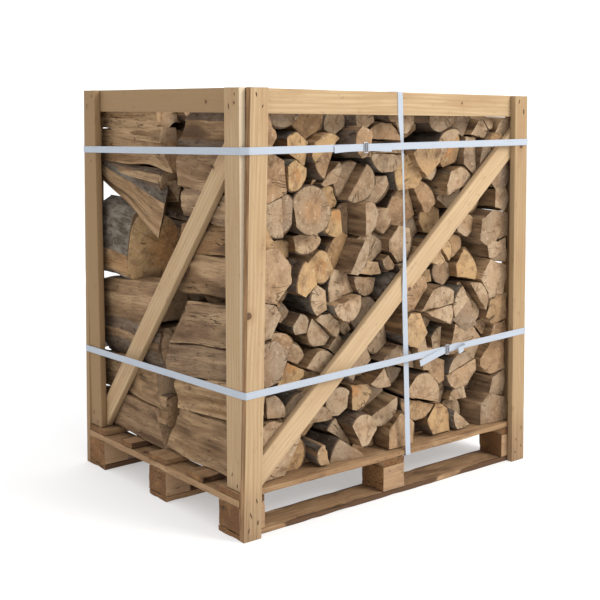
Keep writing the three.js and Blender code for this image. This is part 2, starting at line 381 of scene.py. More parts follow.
def sawn_end(start):
    pith, own, (grey, warmth, shade) = log_place(start)
    flat = pith.stretched(1, 0, 1)
    radius = flat.length()
    bole = attribute(start, "bole", 2)
    worn = own.noise(22, 3.0)
    rings = ((radius + worn * 0.008) * 2100).wave()
    heart = (radius / bole + (own.noise(35) - 0.5) * 0.5).step(0.62, 0.3)
    colour = rings.mix(paint(160, 137, 111), paint(173, 150, 122))
    colour = colour.coat(warmth.step(0.58, 0.84) * 0.75, 178, 144, 98)
    colour = colour.coat(shade.step(0.62, 0.9) * 0.6, 148, 114, 80)
    colour = colour.coat(grey.step(0.66, 0.9) * 0.75, 134, 117, 99)
    colour = colour.coat(heart * (0.12 + warmth.step(0.88, 0.97) * 0.5), 168, 116, 68)
    colour = colour.coat(worn.step(0.42, 0.72) * 0.7, 126, 99, 72)
    blotch = own.noise(48, 4.0, 0.6)
    colour = colour.coat(blotch.step(0.5, 0.68) * 0.6, 108, 82, 60)
    dirt = own.noise(150, 4.0, 0.7)
    colour = colour.coat(dirt.step(0.56, 0.72) * 0.5, 88, 65, 46)
    pale = own.noise((90, 30, 90), 3.0).step(0.55, 0.75)
    colour = colour.coat(pale * 0.4, 196, 176, 150)
    heading = flat.node("VectorMath", {"operation": "NORMALIZE"}, {0: flat})
    spokes = heading.stretched(2.1, 1, 2.1).moved(own.stretched(4, 0, 4)).noise(1.0, 2.0)
    open_here = own.noise(16).step(0.5, 0.6) * (radius / bole).step(0.08, 0.3)
    checks = abs(spokes - 0.5).step(0.011, 0.001) * open_here
    colour = colour.coat(checks * 0.75, 60, 43, 30)
    rind = (radius / bole + (own.noise(90) - 0.5) * 0.06).step(0.93, 0.965)
    colour = colour.coat(rind * 0.85, 72, 54, 40)
    saw = (pith.part("X") * 0.6 + pith.part("Z") + own.noise(8) * 0.01) * 2600
    height = (saw.sine() * 0.00012 + dirt * 0.0024 + blotch * 0.003 + worn * 0.003
              - checks * 0.0015 + rings * 0.0001)
    return matt(colour, 0.88, 0.18), height


def split_face(start):
    """Torn long grain, with a painted highlight on its ledges and along its section's edges, and painted
    shade in its hollows.
    """
    pith, own, (grey, warmth, shade) = log_place(start)
    shading_relief = attribute(start, "shading_relief", 2)
    bent = own.moved((own.noise(9) * 0.03).vector())
    fibres = bent.noise((230, 9, 230), 5.0, 0.62)
    bands = bent.noise((52, 3.5, 52), 3.0, 0.55)
    colour = bands.step(0.3, 0.7).mix(paint(122, 94, 65), paint(158, 130, 97))
    colour = colour.coat(warmth.step(0.5, 0.9) * 0.5, 156, 118, 76)
    colour = colour.coat(shade.step(0.6, 0.95) * 0.55, 108, 80, 56)
    colour = colour.coat(grey.step(0.5, 0.95) * 0.6, 122, 103, 86)
    # Painted highlight on high relief and along the section's edges.
    colour = colour.coat(shading_relief.step(0.62, 0.95) * 0.5, 182, 153, 118)
    # Painted shade in the hollows of the relief.
    colour = colour.coat(shading_relief.step(0.5, 0.16) * 0.85, 74, 55, 39)
    colour = colour.coat(fibres.step(0.42, 0.68) * 0.5, 98, 73, 51)
    patches = own.noise((14, 5, 14), 4.0, 0.6)
    colour = colour.coat(patches.step(0.5, 0.7) * 0.65, 94, 71, 52)
    clefts = abs(bent.noise((34, 2.2, 34)) - 0.5).step(0.009, 0.002)
    clefts = clefts * own.noise(12).step(0.5, 0.6)
    hairs = abs(bent.noise((95, 4, 95), 2.0, 0.6) - 0.5).step(0.010, 0.002)
    hairs = hairs * own.noise(20).step(0.46, 0.58)
    colour = colour.coat(hairs * 0.75, 64, 46, 32)
    flecks = own.noise((120, 60, 120), 3.0, 0.6).step(0.62, 0.7)
    colour = colour.coat(flecks * 0.5, 56, 40, 29)
    colour = colour.coat(clefts * 0.75, 50, 36, 26)
    height = fibres * 0.0026 + bands * 0.007 - flecks * 0.0005 - clefts * 0.003 - hairs * 0.001
    return matt(colour, 0.88, 0.18), height


def bark(start):
    pith, own, (grey, warmth, shade) = log_place(start)
    broad = own.noise((28, 12, 28), 4.0, 0.6)
    fissures = own.noise((120, 26, 120), 4.0, 0.6, 0.6)
    colour = broad.step(0.32, 0.68).mix(paint(82, 72, 62), paint(124, 115, 104))
    colour = colour.coat(shade.step(0.4, 0.6) * 0.6, 98, 76, 57)
    colour = colour.coat(grey.step(0.7, 0.95) * 0.5, 66, 55, 46)
    colour = colour.coat(fissures.step(0.5, 0.7) * 0.75, 54, 44, 36)
    lichen = own.noise(60, 3.0, 0.6).step(0.6, 0.72)
    colour = colour.coat(lichen * 0.6, 142, 137, 126)
    height = broad * 0.003 - fissures.step(0.45, 0.75) * 0.0022
    return matt(colour, 0.92, 0.15), height


def webbing(start):
    """Woven lashing: polyester cords along it, bound by a fine cross weave."""
    weave = attribute(start, "weave")
    cords = ((weave.part("X") + 0.25 / STRAP_CORDS) * (2 * math.pi * STRAP_CORDS)).wave()
    picks = (weave.part("Y") * 2900).wave()
    dirt = weave.noise((3, 14, 1), 4.0, 0.6)
    colour = cords.mix(paint(152, 161, 173), paint(176, 183, 192))
    colour = colour.coat(picks * 0.2, 146, 156, 171)
    colour = colour.coat(dirt.step(0.52, 0.75) * 0.35, 142, 143, 144)
    height = cords * 0.0003 + picks * 0.0001
    return matt(colour, 0.55, 0.35) | {"Sheen Weight": 0.15}, height


def zinc_wire(start):
    place = object_place(start)
    dull = place.noise(700, 3.0)
    colour = dull.mix(paint(120, 120, 122), paint(176, 176, 180))
    return {"Base Color": colour, "Metallic": 0.9, "Roughness": 0.32 + dull * 0.25}, dull * 0.0001


def nail_steel(start):
    place = object_place(start)
    rust = place.noise(900, 4.0, 0.6)
    colour = rust.mix(paint(52, 46, 42), paint(98, 70, 50))
    return {"Base Color": colour, "Metallic": 0.5, "Roughness": 0.6}, rust * 0.0002


def nail_stain(start):
    """The dark bruise round a nail, where iron has blackened the torn fibres."""
    place = object_place(start)
    torn = place.noise((500, 500, 160), 4.0)
    colour = torn.mix(paint(46, 32, 23), paint(92, 66, 46))
    return matt(colour, 0.9, 0.15), torn * 0.0008


# ---------- meshes ----------

def new_piece(name, bm, materials, replaced=(), sharp_angle=35):
    """Makes the piece of a finished bmesh: its materials, its body and its nodes."""
    mesh = bpy.data.meshes.new(name)
    bm.to_mesh(mesh)
    bm.free()
    for material in materials:
        mesh.materials.append(material)
    mesh.shade_smooth()
    mesh.set_sharp_from_angle(angle=math.radians(sharp_angle))
    piece = add_object(name, mesh)
    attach(piece, BODY)
    for node in replaced:
        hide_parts(node)
    return piece


def vectors(mesh, field="co"):
    """The place of every vertex of a mesh, or its normal."""
    flat = np.empty(len(mesh.vertices) * 3, np.float32)
    mesh.vertices.foreach_get(field, flat)
    return flat.reshape(-1, 3).astype(float)


def set_places(mesh, places):
    mesh.vertices.foreach_set("co", places.astype(np.float32).ravel())


def add_attribute(mesh, name, values):
    """Stores a number or a vector at every vertex."""
    kind, field = ("FLOAT_VECTOR", "vector") if values.ndim == 2 else ("FLOAT", "value")
    layer = mesh.attributes.new(name, kind, "POINT")
    layer.data.foreach_set(field, values.astype(np.float32).ravel())


def smooth_noise(points, seed=0):
    """Noise from -1 to 1 at each point, smooth over a lattice one unit wide."""
    cell = np.floor(points).astype(np.int64)
    part = points - cell
    part = part * part * (3 - 2 * part)
    total = np.zeros(len(points))
    for corner in itertools.product((0, 1), repeat=3):
        mixed = (cell + corner) @ np.array((73856093, 19349663, 83492791)) + seed * 374761393
        mixed = (mixed ^ (mixed >> 13)) * 1274126177 & 0xFFFFFFFF
        value = (mixed ^ (mixed >> 15)) % 65536 / 32767.5 - 1
        total += value * np.prod(np.where(corner, part, 1 - part), axis=1)
    return total


# ---------- boards ----------

BOARD_EDGE = 0.0016  # how far worn edges are rounded
BOARD_CUTS = (0.03, 0.016, 0.011)  # mesh spacing along, across and through a board
CRATE_ROUGHNESS, PALLET_ROUGHNESS = 0.0005, 0.0016  # how uneven their boards are
END_FACE = 0.7  # a face looking along the board by more than this is its sawn end

# Knots that stand out: place along and across the board from -1 to 1, and radius.
BOARD_KNOTS = {
    "left_board_front": (0.93, 0.4, 0.004),
    "front_board_left": (0.02, -0.75, 0.011),
    "front_board_right": (0.74, 0.1, 0.009),
    "front_brace": (-0.05, -0.85, 0.008),
}
BOARD_TINTS = {"left_rail": 1.0, "front_rail": 0.0, "front_brace": -0.22, "left_brace": -0.05,
               "left_board_front": 0.2, "left_board_back": 1.1, "back_board_left": 0.9,
               "front_board_left": 0.12, "front_board_right": 0.5}
BLOCK_TINT = -0.28
EDGE_FINISHES = {"left_board_front": "planed", "front_board_left": "sawn"}
# Boards with bark left on their edges: how wide the strip is.
WANEY_BOARDS = {"right_brace": 0.004, "bottom_board_front": 0.003, "back_rail": 0.004,
                "deck_board_2": 0.008, "deck_board_4": 0.006, "bottom_board_back": 0.008}
CLEAN_EDGE = -0.03

PALLET_NODES = ("bottom_board", "block", "stringer", "deck_board")


def board_axes(bm, name):
    """Unit vectors along, across and through a board, from its longest edge."""
    longest = max(bm.edges, key=lambda edge: edge.calc_length())
    along = (longest.verts[1].co - longest.verts[0].co).normalized()
    if name.startswith("block"):
        along = Vector((1, 0, 0))
    sizes = []
    for axis in (Vector((1, 0, 0)), Vector((0, 1, 0))):
        reach = [vert.co.dot(axis) for vert in bm.verts]
        sizes.append((max(reach) - min(reach), axis))
    if name.startswith(PALLET_NODES):
        through = UP
    else:
        through = min(sizes, key=lambda size: size[0])[1]
    across = through.cross(along).normalized()
    return along, across, along.cross(across)


def cut_across(bm, middle, axis, step):
    """Cuts a mesh by planes square to an axis, every step, so that it can be uneven."""
    reach = max(abs((vert.co - middle).dot(axis)) for vert in bm.verts)
    count = int(2 * reach / step)
    for index in range(1, count):
        place = middle + axis * (2 * reach * index / count - reach)
        everything = bm.verts[:] + bm.edges[:] + bm.faces[:]
        bmesh.ops.bisect_plane(bm, geom=everything, dist=1e-6, plane_co=place, plane_no=axis)


def cut_board(name, middle):
    """A board with worn edges, cut finely, and its axes. Its ends and sawn edges are marked."""
    bm = bmesh.new()
    bm.from_mesh(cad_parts[name].data)
    bmesh.ops.remove_doubles(bm, verts=bm.verts, dist=1e-5)
    bmesh.ops.dissolve_limit(bm, angle_limit=math.radians(1), verts=bm.verts, edges=bm.edges)
    axes = board_axes(bm, name)
    bmesh.ops.bevel(bm, geom=bm.edges[:], offset=BOARD_EDGE, segments=2, profile=0.5,
                    affect="EDGES", material=-1)
    for axis, step in zip(axes, BOARD_CUTS):
        cut_across(bm, middle, axis, step)
    bm.normal_update()
    for face in bm.faces:
        face.material_index = int(abs(face.normal.dot(axes[0])) > END_FACE)
        if name in EDGE_FINISHES and abs(face.normal.dot(axes[1])) > END_FACE:
            face.material_index = 2
    return bm, axes


def roughen_board(mesh, name, local, seed):
    """Makes a board's faces uneven and nicks them, within the box of its CAD solid."""
    rough = PALLET_ROUGHNESS if name.startswith(PALLET_NODES) else CRATE_ROUGHNESS
    bumps = smooth_noise(local / (0.07, 0.02, 0.02), seed) * rough - rough * 0.6
    nicks = np.clip(smooth_noise(local / 0.025, seed + 50) - 0.35, 0, 1) * -rough * 3
    place = vectors(mesh) + vectors(mesh, "normal") * (bumps + nicks)[:, None]
    set_places(mesh, np.clip(place, *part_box(name)))


def mark_board(mesh, name, local, seed):
    """Stores what a board's finishes read: its grain, tint, knot and bark edge."""
    rng = random.Random(seed)
    add_attribute(mesh, "grain", local + np.array([rng.uniform(0, 9) for _ in range(3)]))
    tint = BLOCK_TINT if name.startswith("block") else BOARD_TINTS.get(name, rng.random() * 0.6)
    add_attribute(mesh, "tint", np.full(len(local), tint))
    half_length, half_width = np.abs(local[:, :2]).max(0)
    along, across, radius = BOARD_KNOTS.get(name, (
        rng.uniform(-0.8, 0.8), rng.uniform(-0.7, 0.7), rng.uniform(0.003, 0.009)))
    knot = local - np.array((along * half_length, across * half_width, 0))
    knot[:, 2] = radius
    add_attribute(mesh, "knot", knot)
    ragged = smooth_noise(local * (9, 0, 0), seed + 70) * 0.008
    from_edge = half_width - np.abs(local[:, 1])
    add_attribute(mesh, "wane", WANEY_BOARDS.get(name, CLEAN_EDGE) + ragged - from_edge)


def make_board(name, finishes, seed):
    middle = sum(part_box(name), Vector()) / 2
    bm, axes = cut_board(name, middle)
    kind = "pallet" if name.startswith(PALLET_NODES) else "crate"
    faces = [finishes[kind], finishes["end"]]
    if name in EDGE_FINISHES:
        faces.append(finishes[EDGE_FINISHES[name]])
    mesh = new_piece(f"{name}_wood", bm, faces, [name], 50).data
    local = (vectors(mesh) - np.array(middle)) @ np.array(axes).T
    roughen_board(mesh, name, local, seed)
    mark_board(mesh, name, local, seed)


def make_boards():
    finishes = {"crate": new_material("planed_softwood", crate_board),
                "pallet": new_material("rough_pallet_wood", pallet_board),
                "end": new_material("board_end_grain", board_end),
                "planed": new_material("planed_edge", planed_edge),
                "sawn": new_material("sawn_edge", sawn_edge)}
    skipped = ("log_row", "strap", "buckle")
    names = [name for name in sorted(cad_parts) if not name.startswith(skipped)]
    for seed, name in enumerate(names):
        make_board(name, finishes, seed)


# ---------- stacking the logs ----------

ROW_PIECES = 6
ROW_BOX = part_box("log_row_front")
STACK_REACH = ROW_BOX[1].x
STACK_BASE = ROW_BOX[0].z
LOG_GAP = (0.0003, 0.0062)  # between a log's face and the line it shares with its neighbour
LEFT_END_GAP = (0.0014, 0.0070)  # the same round a log seen from end to end, at the left
RIGHT_END_GAP = (-0.001, 0.0022)  # and at the right
LARGEST_PIECE = (0.0066, 0.0132)  # sectional area above which a bole is split again
SMALLEST_BOLE, SMALLEST_PIECE = 3e-4, 2.5e-4  # sectional areas left out of the stack
BOLE_RADIUS = (0.026, 0.048, 0.078)  # least, usual and most
NEIGHBOUR_REACH = 0.34  # boles farther apart than this don't touch
PUSHES = 260  # how often the boles push each other apart
PUSH = 0.35  # how much of an overlap one push takes away
SPLIT_FROM_CORNER = 0.6  # share of the splits that start at the bole's farthest corner
SPLIT_OFFSET = 0.012  # how far from the middle a split may run
# The bole's radius, as a share of what would give a piece of its kind that area, or hold it.
BOLE_SHARES = {"round": 0.97, "half": 0.95, "quarter": 0.94, "slab": 0.93, "core": 1.25}
SHARED_SHARE = 0.99  # the same where all the pieces of one bole keep its pith
PITH_AWAY = (0.06, 0.12)  # how far a slab's or a core's pith is from its middle
TOP_ROOM, TOP_LEAN = (0.004, 0.03), 11  # room under the top of the row, and the lean there in degrees
# How far each kind of face towards the wall leans, in degrees.
WALL_LEANS = {"ridge": (4, 12), "leaning": (6, 11), "flat": (0, 3), "bark": (0, 3), "gap": (0, 3)}
# How common each kind of split piece is, and each kind of face towards the wall.
PIECE_KINDS = {"round": 6, "half": 32, "quarter": 38, "slab": 18, "core": 6}
WALL_FACES = {"flat": 46, "ridge": 22, "leaning": 20, "bark": 12}

# A log seen from end to end at an end of the crate: its height; its face towards the wall; how far
# short of the crate's middle it stops; how that end leans, in Y per Z; how it tips, in Z per Y; and
# how far it reaches out between the corner boards, past the rest of its row.
EndLog = collections.namedtuple("EndLog", "height face stop lean tip past", defaults=[0.0])

# From the deck up.
LEFT_END_FRONT = (
    EndLog(0.172, "flat", 0.012, -0.52, 0.0), EndLog(0.056, "flat", 0.018, 0.2, -0.08),
    EndLog(0.128, "ridge", -0.042, -0.15, -0.12), EndLog(0.104, "flat", 0.040, -0.80, -0.11),
    EndLog(0.146, "ridge", 0.055, -0.45, -0.07), EndLog(0.082, "leaning", 0.050, 0.2, -0.06),
    EndLog(0.054, "flat", 0.058, 0.15, 0.04), EndLog(0.138, "flat", 0.044, 0.0, 0.03),
    EndLog(0.092, "bark", 0.062, -0.7, 0.0),
)
LEFT_END_BACK = (
    EndLog(0.114, "flat", 0.052, 0.50, 0.0, 0.021), EndLog(0.112, "flat", 0.066, 0.2, 0.03, 0.021),
    EndLog(0.126, "bark", 0.050, 0.1, 0.02, 0.021), EndLog(0.130, "ridge", 0.080, -0.3, -0.10, 0.021),
    EndLog(0.178, "gap", 0, 0, 0), EndLog(0.160, "gap", 0, 0, 0),
    EndLog(0.112, "flat", 0.030, 0.75, 0.06), EndLog(0.070, "ridge", 0.050, 0.2, 0.0),
)
# At the right end only the logs' heights are given.
RIGHT_END_FRONT = (0.088, 0.070, 0.102, 0.060, 0.084, 0.108, 0.072, 0.092, 0.064, 0.088, 0.076,
                   0.055, 0.05)
RIGHT_END_BACK = (0.140, 0.085, 0.105, 0.075, 0.120, 0.070, 0.105, 0.095, 0.080, 0.07)

def box_section(x, z):
    return (-x, -z), (x, -z), (x, z), (-x, z)


# Logs that lie askew at the back row's left end: near end, far end, the section's corners
# anticlockwise about the pith, the bole's radius, the log's three tints, the section's scale at its
# near and far ends, and how the near end leans, in Y per X. The last three fill the stack behind.
LooseLog = collections.namedtuple("LooseLog", "near far corners bole tints taper lean",
                                  defaults=[(1.0, 1.0), 0.0])
LOOSE_LOGS = (
    LooseLog((-0.372, 0.205, 0.700), (-0.378, 0.400, 0.712),
             ((-0.18, -0.100), (-0.118, -0.104), (-0.100, -0.136), (-0.030, -0.140), (0.050, 0.000),
              (0.040, 0.060), (-0.060, 0.125), (-0.110, 0.140), (-0.18, 0.14)),
             0.158, (0.1, 0.97, 0.3), (1.0, 1.02), -0.25),
    LooseLog((-0.446, 0.098, 0.818), (-0.482, 0.388, 0.922),
             ((-0.035, -0.072), (0.045, -0.045), (0.060, 0.060), (-0.040, 0.110), (-0.062, 0.032)),
             0.074, (0.6, 0.6, 0.3), (1.05, 0.42), 1.1),
    LooseLog((-0.450, 0.070, 0.905), (-0.472, 0.392, 0.934),
             ((-0.044, -0.028), (0.046, -0.024), (0.050, 0.030), (-0.030, 0.034)),
             0.038, (0.7, 0.3, 0.8), (1.0, 0.9), 0.1),
    LooseLog((-0.440, 0.060, 0.880), (-0.400, 0.330, 0.850),
             ((0.004, -0.044), (0.028, 0.030), (-0.030, 0.026)), 0.052, (0.2, 0.6, 0.1)),
    LooseLog((-0.466, 0.045, 1.040), (-0.466, 0.330, 1.045),
             ((-0.034, -0.023), (0.036, -0.020), (0.030, 0.022), (-0.030, 0.025)),
             0.080, (0.05, 0.2, 0.1), (1.0, 0.8), 0.15),
    LooseLog((-0.462, 0.034, 0.236), (-0.462, 0.150, 0.236),
             ((-0.040, -0.050), (0.045, -0.050), (0.045, 0.055), (-0.030, 0.055)),
             0.050, (0.6, 0.4, 0.9), lean=0.1),
    LooseLog((-0.446, 0.060, 1.092), (-0.446, 0.384, 1.096),
             ((-0.052, -0.028), (0.050, -0.028), (0.050, 0.024), (-0.052, 0.022)),
             0.090, (0.4, 0.7, 0.7), lean=0.2),
    LooseLog((-0.318, 0.040, 0.650), (-0.318, 0.390, 0.650), box_section(0.045, 0.045),
             0.056, (0.7, 0.4, 0.8)),
    LooseLog((-0.322, 0.050, 0.760), (-0.322, 0.390, 0.770), box_section(0.045, 0.050),
             0.060, (0.3, 0.5, 0.9)),
    LooseLog((-0.330, 0.040, 0.865), (-0.330, 0.390, 0.870), box_section(0.045, 0.045),
             0.054, (0.8, 0.2, 0.6)),
)

# Whole round boles that stand out in the front row: middle (x, z) and radius.
FRONT_ROUNDS = (
    (-0.280, 0.835, 0.066), (-0.186, 0.873, 0.040), (-0.301, 0.528, 0.034),
    (-0.107, 0.209, 0.052), (-0.217, 0.678, 0.045), (0.250, 0.628, 0.030),
    (0.305, 0.699, 0.040), (-0.167, 0.295, 0.042), (-0.355, 0.948, 0.046),
)
BACK_ROUNDS = ((0.21, 0.42, 0.060), (-0.12, 0.76, 0.052), (0.05, 0.98, 0.044))

# A row that logs fill: its box, its top's height at any X, and whether its sawn ends face back.
Row = collections.namedtuple("Row", "low high top faces_back")


@dataclasses.dataclass
class Log:
    """One log: its section as an outline and its split lines, and the bole it was split from."""
    outline: list
    lines: list
    pith: Vector
    bole: float
    end: EndLog = None
    loose: LooseLog = None
    seen_all: bool = False
    near: float = 0.0


def sides(polygon):
    return zip(polygon, polygon[1:] + polygon[:1])


def area_of(polygon):
    return sum(here.x * there.y - there.x * here.y for here, there in sides(polygon)) / 2


def middle_of(polygon):
    return sum(polygon, Vector((0, 0))) / len(polygon)


def clip(polygon, point, normal):
    """The part of a convex polygon behind a line."""
    kept = []
    for here, there in sides(polygon):
        before = (here - point).dot(normal)
        after = (there - point).dot(normal)
        if before <= 0:
            kept.append(here)
        if before * after < 0:
            kept.append(here.lerp(there, before / (before - after)))
    return kept


def touching(polygon, lines):
    """The lines that two or more corners of the polygon lie on."""
    return [line for line in lines
            if sum(abs((corner - line[0]).dot(line[1])) < 1e-6 for corner in polygon) > 1]


def scatter_boles(rng, ends, rounds, top):
    """Circles for the boles in a row's section: fixed ones first, then others pushed apart."""
    fixed = []
    end_logs = []
    for side, stack in zip((-1, 1), ends):
        level = STACK_BASE
        for end in stack:
            height = end.height
            if level + height * 0.6 < top(side * STACK_REACH):
                share = rng.uniform(0.46, 0.58)
                x = side * (STACK_REACH - height * (0.36 if end.face == "gap" else share))
                fixed.append((x, level + height / 2, height / 2))
                end_logs.append(end)
            level += height
    fixed += rounds
    circles = np.array(fixed)
    least, usual, most = BOLE_RADIUS
    free = []
    space = 2 * STACK_REACH * (top(0) - STACK_BASE) - math.pi * sum(circles[:, 2] ** 2)
    while space > 0:  # a circle fills a little more room than its own area
        radius = min(max(rng.lognormvariate(math.log(usual), 0.30), least), most)
        x = rng.uniform(-STACK_REACH + 0.1, STACK_REACH - 0.1)
        free.append((x, rng.uniform(STACK_BASE, top(x)), radius))
        space -= math.pi * radius ** 2 * 1.1
    circles = np.vstack((circles, np.array(free)))
    held = len(fixed)
    for _ in range(PUSHES):
        offset = circles[:, None, :2] - circles[None, :, :2]
        distance = np.hypot(offset[..., 0], offset[..., 1]) + np.eye(len(circles)) + 1e-6
        overlap = np.clip(circles[:, None, 2] + circles[None, :, 2] - distance, 0, None)
        np.fill_diagonal(overlap, 0)
        push = (offset / distance[..., None] * overlap[..., None]).sum(1) * PUSH
        circles[held:, :2] += push[held:]
        radius = circles[held:, 2]
        reach = STACK_REACH - radius * 0.7
        circles[held:, 0] = np.clip(circles[held:, 0], -reach, reach)
        tops = np.array([top(x) for x in circles[held:, 0]]) - radius * 0.7
        circles[held:, 1] = np.clip(circles[held:, 1], STACK_BASE + radius * 0.7, tops)
    return circles, end_logs, held


def split_bole(polygon, lines, rng, largest):
    """Splits a bole's section by straight lines until its pieces are small enough."""
    if area_of(polygon) < largest:
        return [(polygon, touching(polygon, lines))]
    middle = middle_of(polygon)
    corner = max(polygon, key=lambda place: (place - middle).length)
    if rng.random() < SPLIT_FROM_CORNER:
        along = (corner - middle).normalized()
    else:
        angle = rng.uniform(0, math.pi)
        along = Vector((math.cos(angle), math.sin(angle)))
    normal = Vector((-along.y, along.x))
    point = middle + normal * rng.uniform(-SPLIT_OFFSET, SPLIT_OFFSET)
    pieces = []
    for side in (normal, -normal):
        part = clip(polygon, point, side)
        pieces += split_bole(part, lines + [(point, side)], rng, largest)
    return pieces


def choose_bole(polygon, rng, kind):
    """Where the pith of a piece's bole was, and the bole's radius, for one kind of piece."""
    middle = middle_of(polygon)
    area = area_of(polygon)
    share = BOLE_SHARES[kind]
    if kind == "round":
        return middle, share * math.sqrt(area / math.pi)
    if kind == "half":
        here, there = max(sides(polygon), key=lambda pair: (pair[0] - pair[1]).length)
        return (here + there) / 2, share * math.sqrt(2 * area / math.pi)
    if kind == "quarter":
        def opening(index):
            before = polygon[index - 1] - polygon[index]
            after = polygon[(index + 1) % len(polygon)] - polygon[index]
            return before.angle(after) if before.length and after.length else math.pi
        sharpest = min(range(len(polygon)), key=opening)
        return polygon[sharpest].copy(), share * math.sqrt(2 * area / opening(sharpest))
    heading = rng.uniform(0, 2 * math.pi)
    pith = middle + Vector((math.cos(heading), math.sin(heading))) * rng.uniform(*PITH_AWAY)
    farthest = max((corner - pith).length for corner in polygon)
    return pith, share * farthest


def leaning_line(x, z, heading, lean):
    """A line through a place, facing along a heading in degrees that leans by an angle."""
    angle = math.radians(heading + lean)
    return Vector((x, z)), Vector((math.cos(angle), math.sin(angle)))


def wall_lines(rng, side, z, radius, face):
    """The lines that cut a log's side towards an end of the crate, for one kind of face."""
    edge = side * (STACK_REACH + rng.uniform(-0.001, 0.003))
    heading = 0 if side > 0 else 180
    if face == "ridge":
        z += rng.uniform(-0.35, 0.35) * radius
        return [leaning_line(edge, z, heading, sign * rng.uniform(*WALL_LEANS[face])) for sign in (-1, 1)]
    lean = rng.choice((-1, 1)) * rng.uniform(*WALL_LEANS[face])
    return [leaning_line(edge, z - math.copysign(radius, lean * side), heading, lean)]


def bounding_lines(rng, x, z, radius, end, top):
    """The deck, the open top and the crate's two ends, as lines that keep a bole in its row."""
    lines = [leaning_line(x, STACK_BASE, -90, 0),
             leaning_line(x, top(x) - rng.uniform(*TOP_ROOM), 90, rng.uniform(-TOP_LEAN, TOP_LEAN))]
    for side in (-1, 1):
        face = end.face if end and x * side > 0 else "flat"
        lines += wall_lines(rng, side, z, radius, face)
    return lines


def end_bole(rng, side, z, radius, face):
    """Where the pith of an end log was, and its bole's radius: bark or split towards the wall."""
    if face == "bark":
        bole = 1.7 * radius
        return Vector((side * (STACK_REACH - 0.001 - bole), z)), bole
    pith = Vector((side * (STACK_REACH - 0.2 * radius), z + rng.uniform(-0.6, 0.6) * radius))
    return pith, 2.8 * radius


def cell_of(index, circles, lines):
    """A bole's share of the row's section, and the lines round it."""
    x, z, radius = circles[index]
    centre = Vector((x, z))
    polygon = [centre + Vector(corner) * 0.3 for corner in ((-1, -1), (1, -1), (1, 1), (-1, 1))]
    for other, (far_x, far_z, far_radius) in enumerate(circles):
        across = Vector((far_x, far_z)) - centre
        distance = across.length
        if other != index and distance < NEIGHBOUR_REACH:
            share = (distance ** 2 + radius ** 2 - far_radius ** 2) / (2 * distance)
            lines.append((centre + across * (share / distance), across / distance))
    for point, normal in lines:
        polygon = clip(polygon, point, normal)
        if len(polygon) < 3:
            return [], lines
    return polygon, touching(polygon, lines)


def split_logs(rng, polygon, lines, whole):
    """The logs that a bole is split into, or the bole itself if it is whole."""
    parts = split_bole(polygon, lines, rng, 1.0 if whole else rng.uniform(*LARGEST_PIECE))
    shared = len(parts) > 1 and rng.random() < 0.5
    logs = []
    for outline, edges in parts:
        if area_of(outline) < SMALLEST_PIECE:
            continue
        if shared:
            pith, bole = middle_of(polygon), SHARED_SHARE * math.sqrt(area_of(polygon) / math.pi)
        else:
            kind = "round" if whole else rng.choices(list(PIECE_KINDS), PIECE_KINDS.values())[0]
            pith, bole = choose_bole(outline, rng, kind)
        logs.append(Log(outline, edges, pith, bole))
    return logs


def stack_row(rng, ends, rounds, top):
    """All the logs of a row, as sections that fill it."""
    circles, end_logs, held = scatter_boles(rng, ends, list(rounds), top)
    logs = []
    for index, (x, z, radius) in enumerate(circles):
        end = end_logs[index] if index < len(end_logs) else None
        lines = bounding_lines(rng, x, z, radius, end, top)
        polygon, lines = cell_of(index, circles, lines)
        if len(polygon) < 3 or area_of(polygon) < SMALLEST_BOLE or (end and end.face == "gap"):
            continue
        if end:
            pith, bole = end_bole(rng, math.copysign(1, x), z, radius, end.face)
            logs.append(Log(polygon, lines, pith, bole, end))
        else:
            logs += split_logs(rng, polygon, lines, index < held)
    return logs


def loose_logs():
    """The logs that lie askew, as sections in their own frames."""
    logs = []
    for shape in LOOSE_LOGS:
        outline = [Vector(corner) for corner in shape.corners]
        lines = []
        for here, there in sides(outline):
            along = (there - here).normalized()
            lines.append((here, Vector((along.y, -along.x))))
        logs.append(Log(outline, lines, Vector((0, 0)), shape.bole, loose=shape))
    return logs


# ---------- one log ----------

LOG_LENGTH = (0.30, 0.36)
END_TILT = math.radians(11)
HIDDEN_CUTS = 15  # cuts along a log that is seen only at its sawn end
SEEN_STEP = 0.0085  # mesh spacing along a log that is seen from end to end
ARC_STEP = (0.0068, 0.0056)  # mesh spacing round a log: in the stack, and seen from end to end
CHIP_DEPTHS = (0.005, 0.008, 0.014)
BOLE_WAVES = ((2, 0.035), (3, 0.02), (7, 0.008))  # waves round a bole, and how deep a share of it
LOG_TURN, END_LOG_TURN = 0.045, 0.006  # how far a log is turned out of line, at most
NEAR_SIDE, NEAR_TOP = 0.03, 0.045  # logs this near a side or the top are seen from end to end
ROW_SLACK = 0.001  # how far logs may pass their row's box
LOOSE_PAST = 0.020  # and logs that lie askew, at the back
# How deep a log's near end lies behind its row's face, at most: end logs, side logs and others.
END_INSET, SIDE_INSET, STACK_INSET = 0.004, 0.016, 0.100


